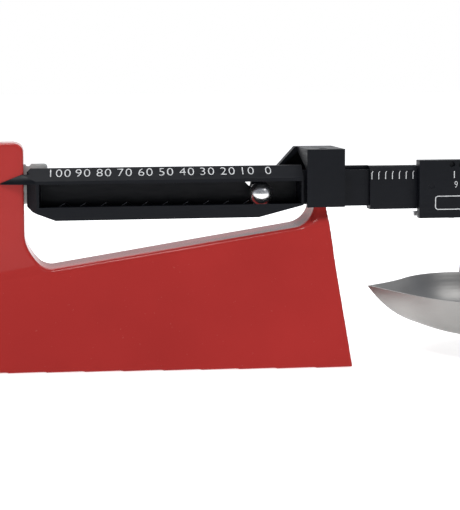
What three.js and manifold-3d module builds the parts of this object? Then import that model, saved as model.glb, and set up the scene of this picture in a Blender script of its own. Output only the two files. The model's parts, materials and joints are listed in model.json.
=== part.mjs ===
// Single-beam grain balance with a rolling ball poise and a sliding poise.
// Millimetres, +Z up, +X along the beam towards the pan, -Y towards the user.
// The origin is the middle of the whole balance's box, on the surface it stands on.
import * as THREE from "three";
import { mergeVertices } from "three/addons/utils/BufferGeometryUtils.js";
import { ConvexGeometry } from "three/addons/geometries/ConvexGeometry.js";
import Module from "manifold-3d";

const wasm = await Module();
wasm.setup();

// ---------------------------------------------------------------- driving dimensions
const GAP = 0.3;                  // between pieces that touch on the real object

// base casting
const RIM_Z = 0.5;                // underside of the casting's rim
const BASE_LEFT = -137;
const BASE_RIGHT = 37.5;
const END_DRAFT = 0.115;          // lean of the end faces
const WALL = 3;
const HALF_WIDTH_0 = 27.3;        // half width of the casting at x = 0, z = 0
const WIDTH_TAPER = 0.058;        // it widens towards the fulcrum
const SIDE_DRAFT = 0.27;          // and narrows upwards
const SLOPE_Z0 = 59.7;            // height of the sloping top at x = 0
const SLOPE = 0.153;
const SLOPE_LEFT = -97;           // the sloping top's straight part
const SLOPE_RIGHT = 13;
const POST_FACE = -109.8;         // the left post's face towards the beam
const POST_TOP = 102.5;
const POST_HALF = 9;
const NECK_HALF = 9.5;            // the right post below the hood
const NECK_LEFT = 23.6;
const NECK_TOP = 74;
const BLADE_HALF = 7.5;            // the right post inside the hood
const BLADE_TOP = 84;

// pivot and beam
const PIVOT_X = 26.5;
const PIVOT_Z = 86;
const NOTCHES = 11;
const NOTCH_PITCH = 9.55;
const NOTCH_ZERO_X = -1;          // the ball's zero notch
const BALL_R = 5.55;
const BALL_Y = -5;
const FLOOR_Z = 72.5;             // floor of the ball trough
const RIDGE_H = 0.4;
const RIDGE_HALF = 1.4;
const TOOTH_H = 1.7;              // teeth between the notches, along the back wall
const TOOTH_HALF = 2.9;
const TOOTH_FRONT = -0.5;
const GROOVE_HALF = 3.1;          // slot along the middle of the floor, whose edges carry the ball
const GROOVE_RIGHT = 5;
const BEAM_FRONT = -12.5;
const BEAM_BACK = 3.2;
const BEAM_TOP = 90.8;
const BEAM_BOTTOM = 67.3;
const LIP_TOP = 85.3;             // foot of the numbered 45 degree bevel
const LIP_BOTTOM = 83.8;
const FLANGE_TOP = 73.3;          // the trough's lower front edge
const LIP_INNER = BEAM_FRONT + 1.6;
const BACK_INNER = 0.9;
const CREST = 1.5;                // thickness of the strip at its top edge
const ROOF_TOP = 86.2;            // top of the trough's roof, behind the strip
const RIB_TOP = 89.2;             // top of the back wall
const TROUGH_LEFT = -102.8;
const TROUGH_CEILING = 84.2;
const BEAM_LEFT = -108.5;
const STRIP_RIGHT = 18;
const STRIP_RIGHT_BOTTOM = 72.6;
const END_WALL = 1;               // closes the trough by the hood
const POINTER_TIP = -120.2;

// hood over the fulcrum
const HOOD_LEFT = 19.2;
const HOOD_RIGHT = 36.9;
const HOOD_HALF = 15;
const HOOD_INNER = 13.2;
const HOOD_TOP = 98.5;
const HOOD_BOTTOM = 71.7;
const GUSSET_LEFT = 7.5;          // the rear wing that ties the hood to the trough's back wall
const GUSSET_BOTTOM = 84.2;
const GUSSET_TOP = 88.5;

// right arm
const NECK_FRONT = -6;
const NECK_BACK = 1;
const NECK_LEDGE = 88.1;
const NECK_END = 50.6;
const ARM_FRONT = -8;
const ARM_BACK = -1.5;
const ARM_TOP = 89.8;
const ARM_BOTTOM = 69.5;
const ARM_BEVEL = 2;
const ARM_END = 104.5;
const TONGUE_HALF = 3.8;
const TONGUE_END = 117;
const TONGUE_BOTTOM = 76;
const HANGER_X = 110.5;
const ADJUST_Z = 84;              // axis of the zero adjusting screw

// slider
const SLIDER_LEFT = 73.2;
const SLIDER_LENGTH = 27.5;
const SLIDER_FRONT = -12;
const SLIDER_SKIN = 2;
const SLIDER_RIM = 1.6;
const SLIDER_TOP = 92.6;
const SLIDER_BOTTOM = 65.3;

// damping vane and magnets
const VANE_HALF = 0.6;
const VANE_LEFT = -129.5;
const VANE_BOTTOM = 74;
const VANE_SLOT_HALF = 1.7;       // the post's slot that the vane swings in
const VANE_SLOT_BOTTOM = 66;
const VANE_SLOT_TOP = 98.5;
const MAGNET_X = -121;
const MAGNET_Z = 81;
const MAGNET_R = 6.8;
const MAGNET_DEPTH = 4;

// zero plate on the left post
const ZERO_PLATE_X = -127.8;
const ZERO_PLATE_THICK = 0.8;
const ZERO_PIN_LOW = 75.5;
const ZERO_PIN_HIGH = 93.5;

// levelling foot
const LEVEL_X = -142;
const LEVEL_STEM_R = 2;
const LEVEL_HEAD_R = 5;

// pan
const PAN_X = 107;
const PAN_R = 40;
const SPOUT_X = 51.6;
const SPOUT_RISE = 2;             // the spout's tip stands above the rim
const PAN_RIM_Z = 29.7;
const PAN_BOTTOM_Z = 8.6;
const PAN_WALL = 0.7;

// ---------------------------------------------------------------- materials
const finish = (color, roughness, metalness) =>
  new THREE.MeshStandardMaterial({ color, roughness, metalness });
const RED_ENAMEL = [0xa53532, 0.28, 0.0];
const BLACK_PHENOLIC = [0x1d2024, 0.5, 0.0];
const CHROME_STEEL = [0xc9c9cb, 0.08, 1.0];
const BRIGHT_STEEL = [0xb0b0b2, 0.3, 1.0];
const SATIN_ALUMINIUM = [0x9c9b98, 0.38, 1.0];
const VANE_ALUMINIUM = [0x8f908c, 0.42, 1.0];
const MAGNET_GREY = [0x4a4a4d, 0.5, 0.4];
const BRASS = [0xb08d45, 0.3, 1.0];
const RUBBER = [0x1a1a1a, 0.85, 0.0];

// ---------------------------------------------------------------- solids and booleans
function toSolid(geometry) {
  const bare = geometry.clone();
  bare.deleteAttribute("normal");
  bare.deleteAttribute("uv");
  const merged = mergeVertices(bare, 1e-4);
  return new wasm.Manifold(new wasm.Mesh({
    numProp: 3,
    vertProperties: new Float32Array(merged.attributes.position.array),
    triVerts: new Uint32Array(merged.index.array),
  }));
}

function toGeometry(solid) {
  const mesh = solid.getMesh();
  const geometry = new THREE.BufferGeometry();
  geometry.setAttribute("position", new THREE.BufferAttribute(new Float32Array(mesh.vertProperties), 3));
  geometry.setIndex(new THREE.BufferAttribute(new Uint32Array(mesh.triVerts), 1));
  geometry.computeVertexNormals();
  return geometry;
}

const join = (first, ...rest) => rest.reduce((all, piece) => all.add(piece), first);
const cut = (first, ...rest) => rest.reduce((all, piece) => all.subtract(piece), first);

function polygon(points) {
  return new THREE.Shape(points.map(([u, v]) => new THREE.Vector2(u, v)));
}

function extrude(shape, depth, curveSegments = 8) {
  return new THREE.ExtrudeGeometry(shape, { depth, bevelEnabled: false, curveSegments });
}

// a shape drawn in x and z, filled from y0 to y1
function fillY(shape, y0, y1) {
  return extrude(shape, y1 - y0).rotateX(Math.PI / 2).translate(0, y1, 0);
}

// a shape drawn in y and z, filled from x0 to x1
function fillX(shape, x0, x1) {
  const turn = new THREE.Matrix4().makeBasis(
    new THREE.Vector3(0, 1, 0), new THREE.Vector3(0, 0, 1), new THREE.Vector3(1, 0, 0));
  return extrude(shape, x1 - x0).applyMatrix4(turn).translate(x0, 0, 0);
}

// a shape drawn in x and y, filled from z0 to z1
function fillZ(shape, z0, z1) {
  return extrude(shape, z1 - z0).translate(0, 0, z0);
}

function box(x0, x1, y0, y1, z0, z1) {
  return new THREE.BoxGeometry(x1 - x0, y1 - y0, z1 - z0)
    .translate((x0 + x1) / 2, (y0 + y1) / 2, (z0 + z1) / 2);
}

function rodY(x, z, r, y0, y1, sides = 24) {
  return new THREE.CylinderGeometry(r, r, y1 - y0, sides).translate(x, (y0 + y1) / 2, z);
}

function rodZ(x, y, r, z0, z1, sides = 32) {
  return new THREE.CylinderGeometry(r, r, z1 - z0, sides)
    .rotateX(Math.PI / 2).translate(x, y, (z0 + z1) / 2);
}

function rodX(y, z, r, x0, x1, sides = 24) {
  return new THREE.CylinderGeometry(r, r, x1 - x0, sides)
    .rotateZ(Math.PI / 2).translate((x0 + x1) / 2, y, z);
}

function tubeAlong(curve, radius, steps, sides = 8) {
  const ring = new THREE.Shape();
  ring.absarc(0, 0, radius, 0, 2 * Math.PI);
  return new THREE.ExtrudeGeometry(ring, { steps, extrudePath: curve, curveSegments: sides / 2 });
}

// a headed pin or screw along y, head outwards; side is -1 in front and +1 behind
function headedPinY(x, z, shankR, headR, headH, headInner, shankInner, side) {
  const shank = rodY(x, z, shankR, Math.min(side * shankInner, side * (headInner + headH / 2)),
    Math.max(side * shankInner, side * (headInner + headH / 2)), 16);
  const head = rodY(x, z, headR, Math.min(side * headInner, side * (headInner + headH)),
    Math.max(side * headInner, side * (headInner + headH)), 20);
  return join(toSolid(shank), toSolid(head));
}

// ---------------------------------------------------------------- assembly
const balance = new THREE.Group();

function addPiece(name, geometry, look) {
  const mesh = new THREE.Mesh(geometry, finish(...look));
  mesh.name = name;
  balance.add(mesh);
}

// ---------------------------------------------------------------- base casting
const slopeZ = (x) => SLOPE_Z0 + SLOPE * x;
const rightFaceX = (z) => BASE_RIGHT - END_DRAFT * z;
const leftFaceX = (z) => BASE_LEFT + END_DRAFT * z / 3;

// scales a slab one unit thick each way to the casting's drafted, tapered width
function drafted(shape, inset) {
  const geometry = fillY(shape, -1, 1);
  const position = geometry.attributes.position;
  for (let i = 0; i < position.count; i += 1) {
    const half = HALF_WIDTH_0 + WIDTH_TAPER * position.getX(i) - SIDE_DRAFT * position.getZ(i) - inset;
    position.setY(i, position.getY(i) * half);
  }
  return toSolid(geometry);
}

function castingBody() {
  const top = 66.5;
  const shape = new THREE.Shape();
  shape.moveTo(leftFaceX(RIM_Z), RIM_Z);
  shape.lineTo(rightFaceX(RIM_Z), RIM_Z);
  shape.lineTo(rightFaceX(top), top);
  shape.lineTo(NECK_LEFT - 1, top);
  shape.quadraticCurveTo(NECK_LEFT - 4, slopeZ(NECK_LEFT - 4), SLOPE_RIGHT, slopeZ(SLOPE_RIGHT));
  shape.lineTo(SLOPE_LEFT, slopeZ(SLOPE_LEFT));
  shape.lineTo(leftFaceX(40), 40);
  return drafted(shape, 0);
}

function castingHollow() {
  const shape = polygon([
    [leftFaceX(0) + WALL, -1],
    [rightFaceX(0) - WALL, -1],
    [rightFaceX(58) - WALL, 58],
    [SLOPE_RIGHT + 1, slopeZ(SLOPE_RIGHT + 1) - WALL],
    [SLOPE_LEFT, slopeZ(SLOPE_LEFT) - WALL],
    [leftFaceX(36) + WALL, 36],
  ]);
  return drafted(shape, WALL);
}

function leftPost() {
  const corner = 4;
  const fillet = 61;
  const outer = leftFaceX(POST_TOP);
  const shape = new THREE.Shape();
  shape.moveTo(leftFaceX(20), 20);
  shape.lineTo(SLOPE_LEFT, 20);
  shape.lineTo(SLOPE_LEFT, slopeZ(SLOPE_LEFT));
  shape.quadraticCurveTo(POST_FACE + 6, slopeZ(POST_FACE) + 3, POST_FACE, fillet);
  shape.lineTo(POST_FACE, POST_TOP - corner);
  shape.absarc(POST_FACE - corner, POST_TOP - corner, corner, 0, Math.PI / 2);
  shape.lineTo(outer + corner, POST_TOP);
  shape.absarc(outer + corner, POST_TOP - corner, corner, Math.PI / 2, Math.PI);
  return toSolid(fillY(shape, -POST_HALF, POST_HALF));
}

function rightNeck() {
  const shape = new THREE.Shape();
  shape.moveTo(SLOPE_RIGHT, 50);
  shape.lineTo(rightFaceX(50), 50);
  shape.lineTo(rightFaceX(NECK_TOP), NECK_TOP);
  shape.lineTo(NECK_LEFT, NECK_TOP);
  shape.quadraticCurveTo(NECK_LEFT, slopeZ(NECK_LEFT), SLOPE_RIGHT, slopeZ(SLOPE_RIGHT));
  const neck = toSolid(fillY(shape, -NECK_HALF, NECK_HALF));
  const blade = toSolid(box(NECK_LEFT, rightFaceX(NECK_TOP), -BLADE_HALF, BLADE_HALF, 60, BLADE_TOP));
  return join(neck, blade);
}

const FOOT_X = 24;
const FOOT_Y = 17.5;
const FOOT_R = 5;
const LUG_TOP = 13;
const LUG_BOTTOM = 7;
const SCREW_Z = 79;               // the bearing plate screws

function levellingLug() {
  const shape = new THREE.Shape();
  shape.moveTo(BASE_LEFT + WALL, -LEVEL_HEAD_R);
  shape.lineTo(BASE_LEFT + WALL, LEVEL_HEAD_R);
  shape.lineTo(LEVEL_X, LEVEL_HEAD_R);
  shape.absarc(LEVEL_X, 0, LEVEL_HEAD_R, Math.PI / 2, 1.5 * Math.PI);
  return toSolid(fillZ(shape, LUG_BOTTOM, LUG_TOP));
}

function baseCasting() {
  const hollow = castingHollow();
  const bosses = [-1, 1].map((side) => {
    const boss = toSolid(rodZ(FOOT_X, side * FOOT_Y, FOOT_R + 1, 2.5, 40, 24));
    return boss.intersect(castingBody());
  });
  const shell = join(cut(castingBody(), hollow), ...bosses, leftPost(), rightNeck(), levellingLug());
  const slot = toSolid(box(VANE_LEFT - 1, POST_FACE + 1, -VANE_SLOT_HALF, VANE_SLOT_HALF,
    VANE_SLOT_BOTTOM, VANE_SLOT_TOP));
  const pockets = [-1, 1].map((side) => {
    const edges = [side * (VANE_SLOT_HALF - GAP), side * (VANE_SLOT_HALF + MAGNET_DEPTH)];
    return toSolid(rodY(MAGNET_X, MAGNET_Z, MAGNET_R + GAP, Math.min(...edges), Math.max(...edges), 32));
  });
  const screwHoles = toSolid(rodY(PIVOT_X, SCREW_Z, 1.5, -BLADE_HALF - 1, BLADE_HALF + 1, 16));
  const levelHole = toSolid(rodZ(LEVEL_X, 0, LEVEL_STEM_R + 0.1, 0, 20));
  const pinHoles = [ZERO_PIN_LOW, ZERO_PIN_HIGH].map((z) =>
    toSolid(rodY(ZERO_PLATE_X, z, 0.8, -POST_HALF - 1, -POST_HALF + 2.5, 12)));
  return cut(shell, slot, ...pockets, screwHoles, levelHole, ...pinHoles);
}

addPiece("base_casting", toGeometry(baseCasting()), RED_ENAMEL);

// ---------------------------------------------------------------- zero plate on the left post
function zeroPlate() {
  const front = -POST_HALF - GAP - ZERO_PLATE_THICK;
  const halfWidth = 4;
  const plate = toSolid(box(ZERO_PLATE_X - halfWidth, ZERO_PLATE_X + halfWidth,
    front, front + ZERO_PLATE_THICK, ZERO_PIN_LOW - 2.5, ZERO_PIN_HIGH + 2.5));
  const holes = [ZERO_PIN_LOW, ZERO_PIN_HIGH].map((z) =>
    toSolid(rodY(ZERO_PLATE_X, z, 0.8, front - 1, front + 2, 12)));
  return cut(plate, ...holes);
}
addPiece("zero_plate", toGeometry(zeroPlate()), VANE_ALUMINIUM);

[["zero_plate_pin_lower", ZERO_PIN_LOW], ["zero_plate_pin_upper", ZERO_PIN_HIGH]].forEach(([name, z]) => {
  const underHead = POST_HALF + 2 * GAP + ZERO_PLATE_THICK;
  const pin = headedPinY(ZERO_PLATE_X, z, 0.5, 1.3, 0.5, underHead, POST_HALF - 2, -1);
  addPiece(name, toGeometry(pin), BRIGHT_STEEL);
});

// ---------------------------------------------------------------- damping magnets
[["magnet_front", -1], ["magnet_rear", 1]].forEach(([name, side]) => {
  const edges = [side * (VANE_SLOT_HALF + GAP), side * (VANE_SLOT_HALF + MAGNET_DEPTH - GAP)];
  const disc = rodY(MAGNET_X, MAGNET_Z, MAGNET_R, Math.min(...edges), Math.max(...edges), 32);
  addPiece(name, disc, MAGNET_GREY);
});

// ---------------------------------------------------------------- knife bearings
const PLATE_THICK = 1.3;
const KNIFE_HEIGHT = 4.9;
const EDGE_GAP = 0.05;            // between the knife edge and the bottom of its notch

function bearingPlate(side) {
  const inner = BLADE_HALF + GAP;
  const outer = inner + PLATE_THICK;
  const notchHalf = 2.8;
  const top = 90;
  const shape = polygon([
    [PIVOT_X - 3.9, 75], [PIVOT_X + 3.9, 75], [PIVOT_X + 3.9, top],
    [PIVOT_X + notchHalf, top], [PIVOT_X, PIVOT_Z], [PIVOT_X - notchHalf, top], [PIVOT_X - 3.9, top],
  ]);
  const y0 = Math.min(side * inner, side * outer);
  const plate = toSolid(fillY(shape, y0, y0 + outer - inner));
  return cut(plate, toSolid(rodY(PIVOT_X, SCREW_Z, 1.5, y0 - 1, y0 + 3, 16)));
}

function knifeEdge(side) {
  const shape = polygon([
    [PIVOT_X, PIVOT_Z + EDGE_GAP], [PIVOT_X + 1.7, PIVOT_Z + KNIFE_HEIGHT],
    [PIVOT_X - 1.7, PIVOT_Z + KNIFE_HEIGHT],
  ]);
  const edges = [side * (BLADE_HALF - 0.2), side * (HOOD_INNER + 1)];
  return fillY(shape, Math.min(...edges), Math.max(...edges));
}

[["front", -1], ["rear", 1]].forEach(([where, side]) => {
  addPiece(`bearing_plate_${where}`, toGeometry(bearingPlate(side)), BRIGHT_STEEL);
  const screw = headedPinY(PIVOT_X, SCREW_Z, 1.2, 2.3, 0.9, BLADE_HALF + 2 * GAP + PLATE_THICK, 2, side);
  addPiece(`bearing_screw_${where}`, toGeometry(screw), BRIGHT_STEEL);
  addPiece(`knife_edge_${where}`, knifeEdge(side), BRIGHT_STEEL);
});

// ---------------------------------------------------------------- feet
[["foot_front", -1], ["foot_rear", 1]].forEach(([name, side]) => {
  addPiece(name, rodZ(FOOT_X, side * FOOT_Y, FOOT_R, 0, 2.5 - GAP, 24), RUBBER);
});

const PAD_TOP = 3;
addPiece("foot_pad", rodZ(LEVEL_X, 0, 4.5, 0, PAD_TOP, 24), RUBBER);

function levellingScrew() {
  const stem = toSolid(rodZ(LEVEL_X, 0, LEVEL_STEM_R, PAD_TOP + GAP, 22));
  const head = toSolid(rodZ(LEVEL_X, 0, LEVEL_HEAD_R, LUG_TOP + 1.3, LUG_TOP + 7, 48));
  return join(stem, head);
}
addPiece("levelling_screw", toGeometry(levellingScrew()), BRASS);

// ---------------------------------------------------------------- beam
const BEVEL = BEAM_TOP - LIP_TOP;

function beamTrough() {
  const section = polygon([
    [BEAM_FRONT, BEAM_BOTTOM], [BEAM_BACK, BEAM_BOTTOM], [BEAM_BACK, RIB_TOP], [BACK_INNER, RIB_TOP],
    [BACK_INNER, ROOF_TOP], [BEAM_FRONT + BEVEL + CREST, ROOF_TOP], [BEAM_FRONT + BEVEL + CREST, BEAM_TOP],
    [BEAM_FRONT + BEVEL, BEAM_TOP], [BEAM_FRONT, LIP_TOP],
  ]);
  const bar = toSolid(fillX(section, BEAM_LEFT, STRIP_RIGHT));
  const sideOutline = polygon([
    [BEAM_LEFT, 73.6], [-105.9, 71.3], [-95.6, BEAM_BOTTOM], [-3, BEAM_BOTTOM],
    [STRIP_RIGHT, STRIP_RIGHT_BOTTOM], [STRIP_RIGHT, BEAM_TOP], [BEAM_LEFT + 1.6, BEAM_TOP],
    [BEAM_LEFT, BEAM_TOP - 1.6],
  ]);
  const side = toSolid(fillY(sideOutline, BEAM_FRONT - 1, BEAM_BACK + 1));
  const planOutline = polygon([
    [BEAM_LEFT, BEAM_FRONT + 4.5], [-104, BEAM_FRONT], [STRIP_RIGHT, BEAM_FRONT],
    [STRIP_RIGHT, BEAM_BACK], [BEAM_LEFT, BEAM_BACK],
  ]);
  const plan = toSolid(fillZ(planOutline, BEAM_BOTTOM - 1, BEAM_TOP + 1));
  const right = STRIP_RIGHT - END_WALL;
  const trough = toSolid(box(TROUGH_LEFT, right, LIP_INNER, BACK_INNER, FLOOR_Z, TROUGH_CEILING));
  const window = toSolid(box(TROUGH_LEFT, right, BEAM_FRONT - 2, LIP_INNER + 1, FLANGE_TOP, LIP_BOTTOM));
  const groove = toSolid(box(TROUGH_LEFT + 3, GROOVE_RIGHT, BALL_Y - GROOVE_HALF, BALL_Y + GROOVE_HALF,
    BEAM_BOTTOM - 1, FLOOR_Z + 1));
  const peephole = toSolid(fillY(polygon([
    [NOTCH_ZERO_X - 7.3, TROUGH_CEILING - 0.9], [NOTCH_ZERO_X - 4.2, TROUGH_CEILING - 3.9],
    [NOTCH_ZERO_X - 3.4, TROUGH_CEILING - 0.9],
  ]), BACK_INNER - 1, BEAM_BACK + 1));
  return cut(bar.intersect(side).intersect(plan), trough, window, groove, peephole);
}

// a triangular ridge or tooth on the floor, centred on x
function ridge(x, half, height, y0, y1) {
  const foot = FLOOR_Z - 0.2;
  const shape = polygon([[x - half, foot], [x + half, foot], [x, FLOOR_Z + height]]);
  return toSolid(fillY(shape, y0, y1));
}

// low ridges on the slot's two sides between the notches, and taller teeth along the back wall
function ridges() {
  const pieces = [];
  for (let i = 1; i < NOTCHES; i += 1) {
    const x = NOTCH_ZERO_X - (i - 0.5) * NOTCH_PITCH;
    pieces.push(ridge(x, RIDGE_HALF, RIDGE_H, LIP_INNER - 0.2, BALL_Y - GROOVE_HALF));
    pieces.push(ridge(x, RIDGE_HALF, RIDGE_H, BALL_Y + GROOVE_HALF, BACK_INNER + 0.2));
    pieces.push(ridge(x, TOOTH_HALF, TOOTH_H, TOOTH_FRONT, BACK_INNER + 0.2));
  }
  return pieces;
}

// the strip runs on in front of the left post and is cut away to a point
function pointer() {
  const back = -POST_HALF - 0.5;
  const corners = [
    [POINTER_TIP, back, LIP_BOTTOM], [POINTER_TIP, back, LIP_BOTTOM + 0.6],
    [-110.5, back, LIP_TOP + back - BEAM_FRONT], [-104.5, BEAM_FRONT, LIP_TOP],
    [-104.5, BEAM_FRONT, LIP_BOTTOM], [-102, BEAM_FRONT, LIP_TOP], [-102, BEAM_FRONT, LIP_BOTTOM],
    [-102, back, LIP_BOTTOM], [-102, back, LIP_TOP + back - BEAM_FRONT],
  ];
  return toSolid(new ConvexGeometry(corners.map((corner) => new THREE.Vector3(...corner))));
}

function hood() {
  const outer = toSolid(box(HOOD_LEFT, HOOD_RIGHT, -HOOD_HALF, HOOD_HALF, HOOD_BOTTOM, HOOD_TOP));
  const inner = toSolid(box(HOOD_LEFT - 1, HOOD_RIGHT - 2.2, -HOOD_INNER, HOOD_INNER,
    HOOD_BOTTOM - 1, HOOD_TOP - 2));
  const pocketHalf = HOOD_INNER + 1 + GAP;
  const knifePocket = toSolid(box(PIVOT_X - 2.1, PIVOT_X + 2.1, -pocketHalf, pocketHalf,
    PIVOT_Z - 0.6, PIVOT_Z + KNIFE_HEIGHT + GAP));
  const gussetShape = polygon([
    [GUSSET_LEFT, GUSSET_BOTTOM], [HOOD_LEFT + 0.5, HOOD_BOTTOM], [HOOD_LEFT + 0.5, HOOD_TOP],
    [HOOD_LEFT - 1, HOOD_TOP], [GUSSET_LEFT + 1.5, GUSSET_TOP], [GUSSET_LEFT, GUSSET_TOP],
  ]);
  const gusset = toSolid(fillY(gussetShape, HOOD_INNER, HOOD_HALF));
  const shelf = toSolid(box(GUSSET_LEFT, HOOD_LEFT + 0.5, BACK_INNER, HOOD_INNER + 0.5,
    GUSSET_BOTTOM, GUSSET_TOP));
  const lip = toSolid(fillY(polygon([
    [GUSSET_LEFT, GUSSET_TOP - 1], [GUSSET_LEFT + 2.4, GUSSET_TOP - 1], [HOOD_LEFT + 0.5, HOOD_TOP - 2],
    [HOOD_LEFT + 0.5, HOOD_TOP], [HOOD_LEFT - 1, HOOD_TOP], [GUSSET_LEFT + 1.5, GUSSET_TOP],
    [GUSSET_LEFT, GUSSET_TOP],
  ]), HOOD_INNER - 3.5, HOOD_HALF));
  const panelFront = -9;
  const panel = toSolid(box(STRIP_RIGHT - 1, HOOD_LEFT + 2.7, panelFront, panelFront + 1.5,
    STRIP_RIGHT_BOTTOM, GUSSET_TOP));
  const roofDimple = toSolid(rodZ(28, -8, 2, HOOD_TOP - 0.5, HOOD_TOP + 1, 24));
  const webRear = HOOD_HALF - 2.2;
  const webShape = polygon([
    [-HOOD_HALF, HOOD_TOP], [-HOOD_HALF, GUSSET_TOP], [webRear, HOOD_TOP - 1], [webRear, HOOD_TOP],
  ]);
  const web = toSolid(fillX(webShape, HOOD_LEFT, HOOD_LEFT + 1.4));
  return join(cut(outer, inner, knifePocket, roofDimple), gusset, shelf, lip, panel, web);
}

function rightArm() {
  const neckSection = polygon([
    [NECK_FRONT, HOOD_BOTTOM - 0.6], [NECK_BACK, HOOD_BOTTOM - 0.6], [NECK_BACK, ARM_TOP],
    [NECK_BACK - 3.5, ARM_TOP], [NECK_BACK - 3.5, NECK_LEDGE], [NECK_FRONT, NECK_LEDGE],
  ]);
  const armSection = polygon([
    [ARM_FRONT, ARM_BOTTOM], [ARM_BACK, ARM_BOTTOM], [ARM_BACK, ARM_TOP],
    [ARM_FRONT + ARM_BEVEL, ARM_TOP], [ARM_FRONT, ARM_TOP - ARM_BEVEL],
  ]);
  const neck = toSolid(fillX(neckSection, HOOD_RIGHT - 1, NECK_END + 1));
  const arm = toSolid(fillX(armSection, NECK_END, ARM_END));
  const tongue = toSolid(box(ARM_END - 2, TONGUE_END, -TONGUE_HALF, TONGUE_HALF, TONGUE_BOTTOM, ARM_TOP));
  const pinHole = toSolid(fillY(hangerPinShape(GAP), -TONGUE_HALF - 1, TONGUE_HALF + 1));
  const screwHole = toSolid(rodX(0, ADJUST_Z, 1.6, TONGUE_END - 3.5, TONGUE_END + 1, 24));
  return cut(join(neck, arm, tongue), pinHole, screwHole);
}

// a bar with its edge up, which the hanger's side plates ride on
function hangerPinShape(grow) {
  return polygon([
    [HANGER_X, PIVOT_Z + 2 * grow], [HANGER_X - 1.6 - grow, PIVOT_Z - 4 - grow],
    [HANGER_X + 1.6 + grow, PIVOT_Z - 4 - grow],
  ]);
}

// ---------------------------------------------------------------- damping vane
const EAR_RIGHT = -99.6;
const EAR_TOP = 92.6;
const RIVET_Z = 87.8;
const RIVETS = [["vane_rivet_left", -106], ["vane_rivet_right", -101.6]];

function beam() {
  const body = join(beamTrough(), ...ridges(), pointer(), hood(), rightArm());
  const vaneSlot = toSolid(box(BEAM_LEFT - 1, TROUGH_LEFT - 0.4, -VANE_HALF - GAP, BACK_INNER,
    VANE_BOTTOM - 1, BEAM_TOP + 1));
  const rivetHoles = RIVETS.map(([, x]) => toSolid(rodY(x, RIVET_Z, 0.9, -VANE_HALF, BEAM_BACK + 1, 12)));
  return cut(body, vaneSlot, ...rivetHoles);
}
addPiece("beam", toGeometry(beam()), BLACK_PHENOLIC);

// riveted to the front of the back wall; its ear shows above the strip
function dampingVane() {
  const shape = new THREE.Shape();
  shape.moveTo(EAR_RIGHT, ROOF_TOP + GAP);
  shape.lineTo(EAR_RIGHT, EAR_TOP - 1.5);
  shape.absarc(EAR_RIGHT - 1.5, EAR_TOP - 1.5, 1.5, 0, Math.PI / 2);
  shape.lineTo(-107.2, EAR_TOP);
  shape.absarc(-108.4, EAR_TOP, 1.2, 0, Math.PI, true);
  shape.lineTo(-111.5, EAR_TOP - 1.4);
  shape.lineTo(VANE_LEFT + 2, 90);
  shape.lineTo(VANE_LEFT, 88);
  shape.lineTo(VANE_LEFT, VANE_BOTTOM);
  shape.lineTo(TROUGH_LEFT - 0.7, VANE_BOTTOM);
  shape.lineTo(TROUGH_LEFT - 0.7, ROOF_TOP + GAP);
  const holes = RIVETS.map(([, x]) => toSolid(rodY(x, RIVET_Z, 0.9, -2, 2, 12)));
  return cut(toSolid(fillY(shape, -VANE_HALF, VANE_HALF)), ...holes);
}
addPiece("damping_vane", toGeometry(dampingVane()), VANE_ALUMINIUM);

RIVETS.forEach(([name, x]) => {
  const rivet = headedPinY(x, RIVET_Z, 0.6, 1.3, 0.5, VANE_HALF + GAP, -BEAM_BACK, -1);
  addPiece(name, toGeometry(rivet), BRIGHT_STEEL);
});

addPiece("hanger_pin", fillY(hangerPinShape(0), -7.6, 7.6), BRIGHT_STEEL);

// ---------------------------------------------------------------- ball
const BALL_SINK = BALL_R - Math.sqrt(BALL_R ** 2 - GROOVE_HALF ** 2);
const BALL_Z = FLOOR_Z + RIDGE_H + BALL_R - BALL_SINK + 0.05;
const ball = new THREE.SphereGeometry(BALL_R, 40, 24).translate(NOTCH_ZERO_X, BALL_Y, BALL_Z);
addPiece("poise_ball", ball, CHROME_STEEL);

// ---------------------------------------------------------------- sliding poise
const PLAY = 0.25;                // between the poise and the arm
const SLIDER_RIGHT = SLIDER_LEFT + SLIDER_LENGTH;
const SHELF_LEFT = 79;
const SHELF_RIGHT = 95;
const SHELF_TOP = SLIDER_BOTTOM + 2;
const SLIDER_RIVET_X = 91;

// a front plate ribbed behind, a flange over the arm and a shelf under it
function poiseSlider() {
  const inner = ARM_FRONT - PLAY;
  const plate = toSolid(box(SLIDER_LEFT, SLIDER_RIGHT, SLIDER_FRONT, inner, SLIDER_BOTTOM, SLIDER_TOP));
  const pocket = toSolid(box(SLIDER_LEFT + SLIDER_RIM, SLIDER_RIGHT - SLIDER_RIM,
    SLIDER_FRONT + SLIDER_SKIN, inner + 1, SLIDER_BOTTOM + 5, SLIDER_TOP - 5));
  const flange = toSolid(box(SLIDER_LEFT, SLIDER_RIGHT, SLIDER_FRONT, inner + 1.8,
    ARM_TOP + PLAY, SLIDER_TOP));
  const shelf = toSolid(box(SHELF_LEFT, SHELF_RIGHT, inner - 1, ARM_BACK, SLIDER_BOTTOM, SHELF_TOP));
  const rivet = toSolid(rodZ(SLIDER_RIVET_X, -5, 1, SLIDER_BOTTOM - 1, SHELF_TOP + 1, 12));
  const dimples = [[88.9, 90.6, 1.3], [93.4, 90.6, 1.3], [79, 80.5, 0.25]].map(([x, z, depth]) =>
    toSolid(rodY(x, z, 1.4, SLIDER_FRONT - 1, SLIDER_FRONT + depth, 16)));
  return cut(join(cut(plate, pocket), flange, shelf), rivet, ...dimples);
}
addPiece("poise_slider", toGeometry(poiseSlider()), BLACK_PHENOLIC);

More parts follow.
